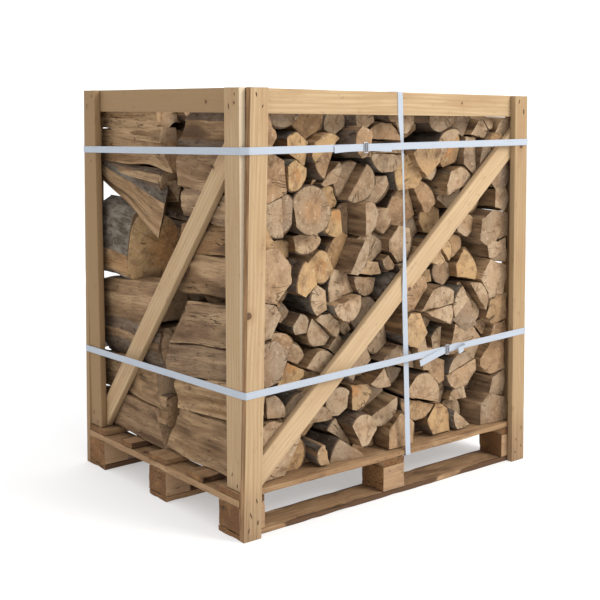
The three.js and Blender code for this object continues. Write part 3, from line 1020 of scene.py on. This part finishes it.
def outline_log(bm, log, rng, step):
    """A sawn disc of the bole, with everything beyond the piece's split lines cut away."""
    count = max(24, round(2 * math.pi * log.bole / step))
    bmesh.ops.create_circle(bm, cap_ends=True, radius=log.bole, segments=count)
    waves = [(turns, rng.uniform(0, 6.28), depth) for turns, depth in BOLE_WAVES]
    for vert in bm.verts:
        angle = math.atan2(vert.co.y, vert.co.x)
        vert.co *= 1 + sum(depth * math.sin(turns * angle + phase) for turns, phase, depth in waves)
    stand = Matrix.Rotation(math.radians(90), 4, "X")
    stand.translation = (log.pith.x, 0, log.pith.y)
    bmesh.ops.transform(bm, matrix=stand, verts=bm.verts)
    planes = []
    least, most = LOG_GAP
    if log.end:
        least, most = LEFT_END_GAP if log.pith.x < 0 else RIGHT_END_GAP
    for point, normal in log.lines:
        inward = point - normal * (least + (most - least) * rng.random() ** 2)
        plane = (Vector((inward.x, 0, inward.y)), Vector((normal.x, 0, normal.y)))
        bmesh.ops.bisect_plane(bm, geom=bm.verts[:] + bm.edges[:] + bm.faces[:], dist=1e-6,
                               plane_co=plane[0], plane_no=plane[1], clear_outer=True)
        planes.append(plane)
    for edge in bm.edges[:]:
        cuts = round(edge.calc_length() / step) - 1
        if cuts > 0:
            bmesh.ops.subdivide_edges(bm, edges=[edge], cuts=cuts)
    return planes


def stretch_log(bm, planes, length, cuts):
    """Draws the disc out into a log, and lays a grid along its sides and on its near end."""
    drawn = bmesh.ops.extrude_face_region(bm, geom=bm.faces[:])
    far = [item for item in drawn["geom"] if isinstance(item, bmesh.types.BMVert)]
    bmesh.ops.translate(bm, vec=(0, length, 0), verts=far)
    bmesh.ops.recalc_face_normals(bm, faces=bm.faces)
    near_cap = None
    for face in bm.faces:
        if len(face.verts) == 4 and abs(face.normal.y) < 0.5:
            middle = face.calc_center_median()
            is_split = any(abs((middle - point).dot(normal)) < 3e-5 for point, normal in planes)
            face.material_index = 1 if is_split else 2
        elif face.calc_center_median().y < length / 2:
            near_cap = face
    lengthwise = [edge for edge in bm.edges
                  if abs(edge.verts[0].co.y - edge.verts[1].co.y) > length / 2]
    bmesh.ops.subdivide_edges(bm, edges=lengthwise, cuts=cuts, use_grid_fill=True)
    bmesh.ops.inset_region(bm, faces=[near_cap], thickness=0.0016, depth=0.0010,
                           use_even_offset=True)
    hub = bmesh.ops.poke(bm, faces=[near_cap], center_mode="MEAN")["verts"][0]
    bmesh.ops.subdivide_edges(bm, edges=list(hub.link_edges), cuts=3, use_grid_fill=True)


def side_weights(mesh):
    """How much of each vertex belongs to split faces, from 0 to 1, and whether any side has it."""
    corners = np.empty(len(mesh.loops), np.int32)
    mesh.loops.foreach_get("vertex_index", corners)
    sizes = np.empty(len(mesh.polygons), np.int32)
    mesh.polygons.foreach_get("loop_total", sizes)
    kinds = np.empty(len(mesh.polygons), np.int32)
    mesh.polygons.foreach_get("material_index", kinds)
    split = np.bincount(corners, np.repeat(kinds == 1, sizes), len(mesh.vertices))
    either = np.bincount(corners, np.repeat(kinds > 0, sizes), len(mesh.vertices))
    return split / np.maximum(either, 1), either > 0


def side_relief(log, place, shifted, rng, seed):
    """How far torn faces and bark stand out at each place, and the torn faces' relief, 0 to 1, raised
    near the section's edges, which their finish paints as highlight and shade.
    """
    ridges = 1 - 2 * np.abs(smooth_noise(shifted / (0.016, 0.16, 0.016), seed))
    waves = smooth_noise(shifted / (0.05, 0.13, 0.05), seed + 1)
    fine = smooth_noise(shifted / (0.009, 0.05, 0.009), seed + 2)
    ledges = np.tanh(5 * smooth_noise(shifted / (0.032, 0.24, 0.032), seed + 9))
    rough = rng.uniform(0.6, 1.6)
    broad = 2.0 if log.end or log.loose else 1.0
    torn = 0.0011 * ridges + 0.0026 * broad * waves + 0.0006 * fine + 0.0014 * broad * ledges
    corners = np.array([(corner.x, corner.y) for corner in log.outline])
    from_edge = np.linalg.norm(place[:, None, ::2] - corners[None], axis=2).min(1)
    # Nearness to the section's edges, painted as a highlight along them.
    rim_highlight = np.clip(1 - from_edge / 0.011, 0, 1)
    shading_relief = 0.5 + 0.2 * ridges + 0.22 * waves + 0.22 * ledges + 0.12 * fine + 0.45 * rim_highlight
    lumps = smooth_noise(shifted / (0.05, 0.06, 0.05), seed + 3)
    pits = smooth_noise(shifted / (0.014, 0.022, 0.014), seed + 4)
    return rough * torn - 0.0012 * broad, 0.0016 * lumps + 0.0007 * pits, np.clip(shading_relief, 0, 1)


def chip_ends(log, place, shifted, near, far, is_side, rng, seed):
    """Makes the near end uneven as a saw does, and knocks chips off the rims that show."""
    chips = np.clip(smooth_noise(shifted / 0.02, seed + 5) - 0.25, 0, 1) * rng.choice(CHIP_DEPTHS)
    saw = smooth_noise(shifted / 0.03, seed + 6) * 0.0009
    place[:, 1] += np.clip(1 - near / 0.012, 0, 1) * (saw + chips * is_side)
    if log.seen_all:
        place[:, 1] -= np.clip(1 - far / 0.02, 0, 1) * chips * 2.5 * is_side


def bend_log(log, row, place, reach, rng, seed):
    """Slants a log's ends, tapers and twists it, and lets it wander on its way."""
    centre = middle_of(log.outline)
    middle = np.array((centre.x, 0, centre.y))
    side = math.copysign(1, centre.x)
    tilts = [rng.uniform(-END_TILT, END_TILT) for _ in range(4)]
    if log.end:
        tilts[0] = -side * rng.uniform(0.04, 0.12)
        tilts[3] = log.end.lean * (-1 if row.faces_back else 1)
    if log.loose:
        tilts[0] = log.loose.lean
    offset = place - middle
    place[:, 1] += (1 - reach) * (offset[:, 0] * tilts[0] + offset[:, 2] * tilts[1])
    place[:, 1] += reach * (offset[:, 0] * tilts[2] + offset[:, 2] * tilts[3])
    taper = 1 + rng.uniform(-0.14, 0.14) * (reach - 0.5)
    if log.loose:
        taper = np.interp(reach, (0, 1), log.loose.taper)
    twist = rng.uniform(-0.16, 0.16) * (reach - 0.3)
    if not log.end:
        offset[:, (0, 2)] *= taper[:, None]
        sine, cosine = np.sin(twist), np.cos(twist)
        place[:, 0] = middle[0] + (cosine * offset[:, 0] - sine * offset[:, 2])
        place[:, 2] = middle[2] + sine * offset[:, 0] + cosine * offset[:, 2]
    drift = np.column_stack((place[:, 1] / 0.13, np.full(len(place), seed * 0.7), np.zeros(len(place))))
    place[:, 0] += smooth_noise(drift, seed + 7) * (0.001 if log.end else 0.004)
    sway = 0.003 if log.end and side > 0 else 0.007 if log.seen_all else 0.004
    place[:, 2] += smooth_noise(drift, seed + 8) * sway


def shape_log(mesh, log, row, length, rng, seed):
    """Roughens and bends a log along its own Y, and returns what its finishes read as well."""
    place = vectors(mesh)
    outward = vectors(mesh, "normal")
    outward[:, 1] = 0
    outward /= np.maximum(np.linalg.norm(outward, axis=1), 0.3)[:, None]
    split, is_side = side_weights(mesh)
    reach = np.clip(place[:, 1] / length, 0, 1)
    if not log.seen_all:
        even, reach = reach, 0.22 * reach + 0.78 * reach ** 3
        place[:, 1] += (reach - even) * length
    local = place - np.array((log.pith.x, 0, log.pith.y))
    shifted = local + np.array((seed * 1.7, seed * 0.31, seed * 2.9))
    torn, barked, shading_relief = side_relief(log, place, shifted, rng, seed)
    depth = np.where(is_side, split * torn + (1 - split) * barked, 0)
    place += outward * depth[:, None]
    chip_ends(log, place, shifted, reach * length, (1 - reach) * length, is_side, rng, seed)
    bend_log(log, row, place, reach, rng, seed)
    local[:, 1] += seed * 0.37
    return place, local, shading_relief


def lay_log(place, log, row, rng):
    """Moves a log's points from its own frame to where it lies in the crate."""
    if log.loose:
        near, far = Vector(log.loose.near), Vector(log.loose.far)
        along = (far - near).normalized()
        across = along.cross(UP).normalized()
        place = place @ np.array((across, along, across.cross(along))) + np.array(near)
    else:
        turn = END_LOG_TURN if log.end else LOG_TURN
        yaw, pitch = rng.uniform(-turn, turn), rng.uniform(-0.6, 0.6) * turn
        place[:, 0] += yaw * place[:, 1]
        place[:, 2] += pitch * place[:, 1]
        place[:, 1] = log.near + place[:, 1] * (-1 if row.faces_back else 1)
        if log.end:
            place[:, 2] += log.end.tip * (place[:, 1] - (row.low.y + row.high.y) / 2)
    past = LOOSE_PAST if log.loose else log.end.past if log.end else 0
    outer = (-1, row.high.y + ROW_SLACK + past) if row.faces_back else (row.low.y - ROW_SLACK, 1)
    reach = STACK_REACH + ROW_SLACK
    place[:, 0] -= (place[:, 0] - np.clip(place[:, 0], -reach, reach)) * 0.9
    place[:, 1] = np.clip(place[:, 1], *outer)
    place[:, 2] = np.maximum(place[:, 2], STACK_BASE)
    return place


def place_log(log, row, rng):
    """Sets where a log's near end is and whether all of it is seen, and returns its length."""
    at_side = max(abs(corner.x) for corner in log.outline) > STACK_REACH - NEAR_SIDE
    at_top = max(corner.y for corner in log.outline) > row.top(middle_of(log.outline).x) - NEAR_TOP
    log.seen_all = bool(log.loose or log.end) or at_side or at_top
    if log.loose:
        return (Vector(log.loose.far) - Vector(log.loose.near)).length
    depth = END_INSET if log.end else SIDE_INSET if at_side else STACK_INSET
    inset = 0.0005 + depth * rng.betavariate(1.05, 2.1)
    past = log.end.past if log.end else 0
    log.near = row.high.y - inset + past if row.faces_back else row.low.y + inset
    if log.end:
        return abs(log.near) - log.end.stop
    return min(rng.uniform(*LOG_LENGTH), row.high.y - row.low.y - inset - 0.008)


def make_log(log, row, rng, seed):
    """One log as a mesh, with the values that its finishes read."""
    length = place_log(log, row, rng)
    bm = bmesh.new()
    planes = outline_log(bm, log, rng, ARC_STEP[bool(log.end or log.loose)])
    if not bm.faces:
        bm.free()
        return None
    stretch_log(bm, planes, length, round(length / SEEN_STEP) if log.seen_all else HIDDEN_CUTS)
    if row.faces_back and not log.loose:
        bmesh.ops.reverse_faces(bm, faces=bm.faces)
    mesh = bpy.data.meshes.new("log")
    bm.to_mesh(mesh)
    bm.free()
    place, local, shading_relief = shape_log(mesh, log, row, length, rng, seed)
    set_places(mesh, lay_log(place, log, row, rng))
    tints = log.loose.tints if log.loose else tuple(rng.random() for _ in range(3))
    return mesh, local, shading_relief, log.bole, tints


def make_row(node, seed, ends, rounds, loose, finishes):
    """Fills a row with logs, joined in a few long pieces from left to right."""
    rng = random.Random(seed)
    low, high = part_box(node)
    corners = vectors(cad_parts[node].data)
    crest = sorted({(round(x, 4), round(z, 4)) for x, _, z in corners if z > low.z + 0.3})
    across, heights = zip(*crest)

    def top(x):
        return float(np.interp(x, across, heights))

    row = Row(low, high, top, low.y > 0)
    logs = stack_row(rng, ends, rounds, top)
    logs.sort(key=lambda log: middle_of(log.outline).x)
    logs = loose + logs
    share = math.ceil(len(logs) / ROW_PIECES)
    for part in range(ROW_PIECES):
        bm = bmesh.new()
        values = []
        for number in range(part * share, min((part + 1) * share, len(logs))):
            made = make_log(logs[number], row, rng, seed * 1000 + number)
            if made:
                bm.from_mesh(made[0])
                bpy.data.meshes.remove(made[0])
                values.append(made[1:])
        name = f"{node.replace('log_row', 'firewood')}_{part + 1}"
        mesh = new_piece(name, bm, finishes, [node], 38).data
        piths, shading_reliefs, boles, tints = zip(*values)
        sizes = [len(local) for local in piths]
        add_attribute(mesh, "pith", np.vstack(piths))
        # The relief that the split faces paint as highlight and shade.
        add_attribute(mesh, "shading_relief", np.concatenate(shading_reliefs))
        add_attribute(mesh, "bole", np.repeat(boles, sizes))
        add_attribute(mesh, "tint", np.repeat(tints, sizes, axis=0))


def random_end(rng, heights):
    """A stack of end logs of given heights, with faces and ends of every kind."""
    stack = []
    for index, height in enumerate(heights):
        face = rng.choices(list(WALL_FACES), WALL_FACES.values())[0]
        tip = rng.uniform(-0.02, 0.02) if index else 0
        stack.append(EndLog(height, face, rng.uniform(0.012, 0.06), rng.uniform(-0.5, 0.5), tip))
    return stack


def make_firewood():
    finishes = [new_material("sawn_log_end", sawn_end), new_material("split_log_face", split_face),
                new_material("log_bark", bark)]
    rng = random.Random(3)
    front_ends = LEFT_END_FRONT, random_end(rng, RIGHT_END_FRONT)
    back_ends = LEFT_END_BACK, random_end(rng, RIGHT_END_BACK)
    make_row("log_row_front", 11, front_ends, FRONT_ROUNDS, [], finishes)
    make_row("log_row_back", 23, back_ends, BACK_ROUNDS, loose_logs(), finishes)


# ---------- straps ----------

STRAP_CORDS = 10
STRAP_WIDTH = 0.019
STRAP_THICK = 0.0012
STRAP_STEP = 0.02
CORNER_RADIUS = 0.004  # where a strap or a buckle's wire turns a corner
CORNER_SHARES = (0, 0.25, 0.5, 0.75, 1)
TAIL_STEPS = 6  # how many pieces each stretch of a loose end has

# How far the upright strap is turned, in degrees, at heights from its middle up to the top rail.
TWIST_HEIGHTS = (0.56, 0.62, 0.68, 0.80, 0.90, 0.97, 1.03, 1.085)
TWIST_ANGLES = (0, -8, -18, -34, -35, -32, -20, 0)

# Loose strap ends at each buckle: points from the buckle's middle, and the ways across the band at
# its start and at its end.
LEVEL = ((0, 0, 1), (0, 0, 1))
STRAP_TAILS = {
    "upper": (
        (((-0.006, -0.001, 0), (-0.04, -0.0012, 0), (-0.080, -0.0014, -0.001),
          (-0.111, -0.0018, -0.003)), LEVEL),
        (((0.006, -0.001, 0), (0.04, -0.0012, -0.001), (0.070, -0.0016, -0.003),
          (0.096, -0.0020, -0.004)), LEVEL),
    ),
    "lower": (
        (((-0.006, -0.001, -0.001), (-0.030, -0.0014, -0.006), (-0.068, -0.0020, -0.015),
          (-0.112, -0.0024, -0.026)), ((0.2, 0, 1), (-0.15, 0, 1))),
        (((0.006, -0.001, 0.001), (0.028, -0.003, 0.005), (0.048, -0.006, 0.006),
          (0.058, -0.011, 0.003), (0.050, -0.015, -0.003), (0.034, -0.015, -0.006)), LEVEL),
    ),
}


def strap_section():
    """A flat band's section as (across, outward) pairs, waved by the cords that run in it."""
    count = 2 * STRAP_CORDS
    section = []
    for side in (1, -1):
        for index in range(count + 1):
            share = index / count - 0.5
            swell = 0.5 if index % 2 else 0.32
            section.append((side * share * STRAP_WIDTH, side * swell * STRAP_THICK))
    return section


def sweep(bm, section, stations, closed):
    """Extrudes a section from station to station."""
    ring = [bm.verts.new(stations[0] @ Vector((across, outward, 0))) for across, outward in section]
    edges = [bm.edges.new((ring[index - 1], ring[index])) for index in range(len(ring))]
    first = edges
    if not closed:
        bmesh.ops.contextual_create(bm, geom=edges)
    for before, after in zip(stations, stations[1:]):
        drawn = bmesh.ops.extrude_edge_only(bm, edges=edges)["geom"]
        ring = {item for item in drawn if isinstance(item, bmesh.types.BMVert)}
        edges = [item for item in drawn
                 if isinstance(item, bmesh.types.BMEdge) and set(item.verts) <= ring]
        bmesh.ops.transform(bm, matrix=after @ before.inverted(), verts=list(ring))
    if closed:
        bmesh.ops.bridge_loops(bm, edges=first + edges)
    else:
        bmesh.ops.contextual_create(bm, geom=edges)
    bmesh.ops.recalc_face_normals(bm, faces=bm.faces)


def station(place, along, across):
    """A frame at a place: X across the band, Y outward, Z along it."""
    along = along.normalized()
    across = (across - along * across.dot(along)).normalized()
    outward = along.cross(across)
    return Matrix.Translation(place) @ Matrix((across, outward, along)).transposed().to_4x4()


def loop_corners(node, axes):
    """The corners that a strap turns, in order: the middles of its CAD solid's corners."""
    first, second = axes
    groups = []
    for place in vectors(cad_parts[node].data):
        for group in groups:
            if math.hypot(group[0][first] - place[first], group[0][second] - place[second]) < 0.004:
                group.append(place)
                break
        else:
            groups.append([place])
    middles = [Vector(np.unique(np.round(group, 5), axis=0).mean(0)) for group in groups]
    centre = sum(middles, Vector()) / len(middles)
    return sorted(middles, key=lambda place: math.atan2(place[second] - centre[second],
                                                        place[first] - centre[first]))


def trios(points):
    """Each point of a closed loop, between the ones before and after it."""
    return zip(points[-1:] + points[:-1], points, points[1:] + points[:1])


def rounded(before, corner, after):
    """Points on a small curve that takes a path round a corner."""
    enter = corner + (before - corner).normalized() * CORNER_RADIUS
    leave = corner + (after - corner).normalized() * CORNER_RADIUS
    return [enter.lerp(corner, share).lerp(corner.lerp(leave, share), share) for share in CORNER_SHARES]


def loop_path(corners):
    """Points round a closed loop with small round corners."""
    path = []
    for before, corner, after in trios(corners):
        path += rounded(before, corner, after)
        leave = path[-1]
        stop = after + (corner - after).normalized() * CORNER_RADIUS
        count = max(1, round((stop - leave).length / STRAP_STEP))
        path += [leave.lerp(stop, step / count) for step in range(1, count)]
    return path


def strap_piece(name, stations, closed, finish, replaced=()):
    bm = bmesh.new()
    sweep(bm, strap_section(), stations, closed)
    piece = new_piece(name, bm, [finish], replaced, 60)
    places = vectors(piece.data)
    middles = np.array([matrix.translation for matrix in stations])
    lengths = np.concatenate(([0], np.cumsum(np.linalg.norm(np.diff(middles, axis=0), axis=1))))
    nearest = np.array([np.argmin(((middles - place) ** 2).sum(1)) for place in places])
    weave = np.zeros((len(places), 3))
    for index, (place, near) in enumerate(zip(places, nearest)):
        matrix = stations[near]
        offset = Vector(place) - matrix.translation
        weave[index, 0] = offset.dot(matrix.col[0].to_3d()) / STRAP_WIDTH
        weave[index, 1] = lengths[near] + offset.dot(matrix.col[2].to_3d())
    add_attribute(piece.data, "weave", weave)
    return piece


def level_strap(level, finish):
    node = f"strap_{level}"
    path = loop_path(loop_corners(node, (0, 1)))
    stations = [station(place, after - before, UP) for before, place, after in trios(path)]
    strap_piece(f"{node}_webbing", stations, True, finish, [node])


def upright_strap(finish):
    """The upright strap: it turns almost edge-on below the top rail and back again."""
    node = "strap_upright"
    stations = []
    for before, place, after in trios(loop_path(loop_corners(node, (1, 2)))):
        along = after - before
        angle = math.radians(np.interp(place.z, TWIST_HEIGHTS, TWIST_ANGLES))
        turn = Matrix.Rotation(angle, 3, along.normalized())
        swing = abs(math.sin(angle)) * STRAP_WIDTH / 2
        outward = Vector((0, math.copysign(swing, place.y), 0))
        stations.append(station(place + outward, along, turn @ Vector((1, 0, 0))))
    strap_piece(f"{node}_webbing", stations, True, finish, [node])


def loose_end(name, points, across, finish):
    """A loose end of strap through chosen points, turning from one way across to another."""
    dense = []
    for index in range(len(points) - 1):
        before = points[max(index - 1, 0)]
        here, there = points[index], points[index + 1]
        after = points[min(index + 2, len(points) - 1)]
        for step in range(TAIL_STEPS):
            t = step / TAIL_STEPS
            dense.append(0.5 * (2 * here + (there - before) * t
                                + (2 * before - 5 * here + 4 * there - after) * t * t
                                + (3 * here - before - 3 * there + after) * t ** 3))
    dense.append(points[-1])
    last = len(dense) - 1
    stations = []
    for index, place in enumerate(dense):
        along = dense[min(index + 1, last)] - dense[max(index - 1, 0)]
        stations.append(station(place, along, across[0].lerp(across[1], index / last)))
    strap_piece(name, stations, False, finish)


def wire_buckle(level, finish):
    """A bent-wire ladder buckle: a rounded frame with a bar across its middle."""
    node = f"buckle_{level}"
    low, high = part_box(node)
    middle = (low + high) / 2
    gauge = (high.y - low.y) / 2
    half_x = (high.x - low.x) / 2 - gauge
    half_z = (high.z - low.z) / 2 - gauge
    circle = [(gauge * math.cos(math.pi * step / 5), gauge * math.sin(math.pi * step / 5))
              for step in range(10)]
    corners = [middle + Vector((right * half_x, 0, up * half_z))
               for right, up in ((-1, -1), (1, -1), (1, 1), (-1, 1))]
    path = [place for trio in trios(corners) for place in rounded(*trio)]
    through = Vector((0, 1, 0))
    bm = bmesh.new()
    frames = [station(place, after - before, through) for before, place, after in trios(path)]
    sweep(bm, circle, frames, True)
    bar = [middle + Vector((0, 0, z)) for z in (-half_z, half_z)]
    sweep(bm, circle, [station(place, UP, through) for place in bar], False)
    new_piece(f"{node}_wire", bm, [finish], [node])


def make_straps():
    finish = new_material("woven_lashing", webbing)
    steel = new_material("zinc_wire", zinc_wire)
    for level in ("upper", "lower"):
        level_strap(level, finish)
        wire_buckle(level, steel)
    upright_strap(finish)
    for level, tails in STRAP_TAILS.items():
        low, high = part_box(f"buckle_{level}")
        middle = (low + high) / 2
        middle.y = high.y
        for number, (points, across) in enumerate(tails, 1):
            places = [middle + Vector(point) for point in points]
            loose_end(f"strap_{level}_tail_{number}", places, [Vector(way) for way in across], finish)


# ---------- nails ----------

NAIL_HEAD = 0.0026
FACE_BOARD_WIDTH = 0.057  # corner boards nailed to the front and back
# How far nails are from a corner board's top, and from its foot: by the floor, or on the deck.
TOP_NAILS = (0.017, 0.047)
FLOOR_NAILS = (0.030, 0.046, 0.070, 0.105)
DECK_NAILS = (0.015, 0.04)
FACINGS = {"front": Vector((0, -1, 0)), "back": Vector((0, 1, 0)),
           "left": Vector((-1, 0, 0)), "right": Vector((1, 0, 0))}


def add_nail(bm, place, outward, rng):
    """A driven nail: a small domed head at the top of a dark slit torn along the grain."""
    turn = outward.to_track_quat("Z", "Y").to_matrix().to_4x4()
    stain = bmesh.ops.create_circle(bm, cap_ends=True, radius=NAIL_HEAD, segments=12,
                                    matrix=Matrix.Translation(place) @ turn)["verts"]
    sideways = outward.cross(UP)
    narrow, tall = rng.uniform(0.45, 0.8), rng.uniform(1.3, 3.2)
    slant = rng.uniform(-0.35, 0.35)
    for vert in stain:
        offset = (vert.co - place) * rng.uniform(0.8, 1.25)
        across, rise = offset.dot(sideways) * narrow, offset.z * tall
        vert.co = place + sideways * (across + rise * slant) + UP * rise
    for face in {face for vert in stain for face in vert.link_faces}:
        face.material_index = 1
    bmesh.ops.translate(bm, vec=outward * 0.0003, verts=stain)
    raised = Matrix.Translation(place + outward * 0.0006 + UP * NAIL_HEAD * 0.4) @ turn
    head = bmesh.ops.create_cone(bm, cap_ends=True, segments=10, radius1=NAIL_HEAD * 0.55,
                                 radius2=NAIL_HEAD * 0.35, depth=0.0008, matrix=raised)["verts"]
    for face in {face for vert in head for face in vert.link_faces}:
        face.material_index = 0


def board_run(name):
    """The middle of a leaning board along X, at its foot and at its top."""
    x, _, z = vectors(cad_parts[name].data).T
    middle = (z.min() + z.max()) / 2
    return x[z < middle].mean(), x[z > middle].mean()


def nail_board(bm, name, side, rng):
    """Nails a corner board at its top and foot, to one side and the other by turns."""
    low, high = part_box(name)
    on_face = side in ("front", "back")
    levels = [high.z - fall for fall in TOP_NAILS]
    levels += [low.z + rise for rise in (FLOOR_NAILS if on_face else DECK_NAILS)]
    for number, level in enumerate(levels):
        share = 0.3 + 0.4 * (number % 2) + rng.uniform(-0.08, 0.08)
        if on_face:
            foot_x, top_x = board_run(name)
            slide = (level - low.z) / (high.z - low.z)
            x = foot_x + (top_x - foot_x) * slide + FACE_BOARD_WIDTH * (share - 0.5)
            place = Vector((x, low.y if side == "front" else high.y, level))
        else:
            y = low.y + (high.y - low.y) * share
            place = Vector((low.x if side == "left" else high.x, y, level))
        add_nail(bm, place, FACINGS[side], rng)


def make_nails():
    rng = random.Random(5)
    bm = bmesh.new()
    for name in sorted(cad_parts):
        side = name.split("_board_")[0]
        if side in FACINGS:
            nail_board(bm, name, side, rng)
    finishes = [new_material("nail_steel", nail_steel), new_material("nail_stain", nail_stain)]
    new_piece("nails", bm, finishes)


# ---------- assembly ----------

make_camera()
make_light()
make_floor()
make_boards()
make_straps()
make_nails()
make_firewood()
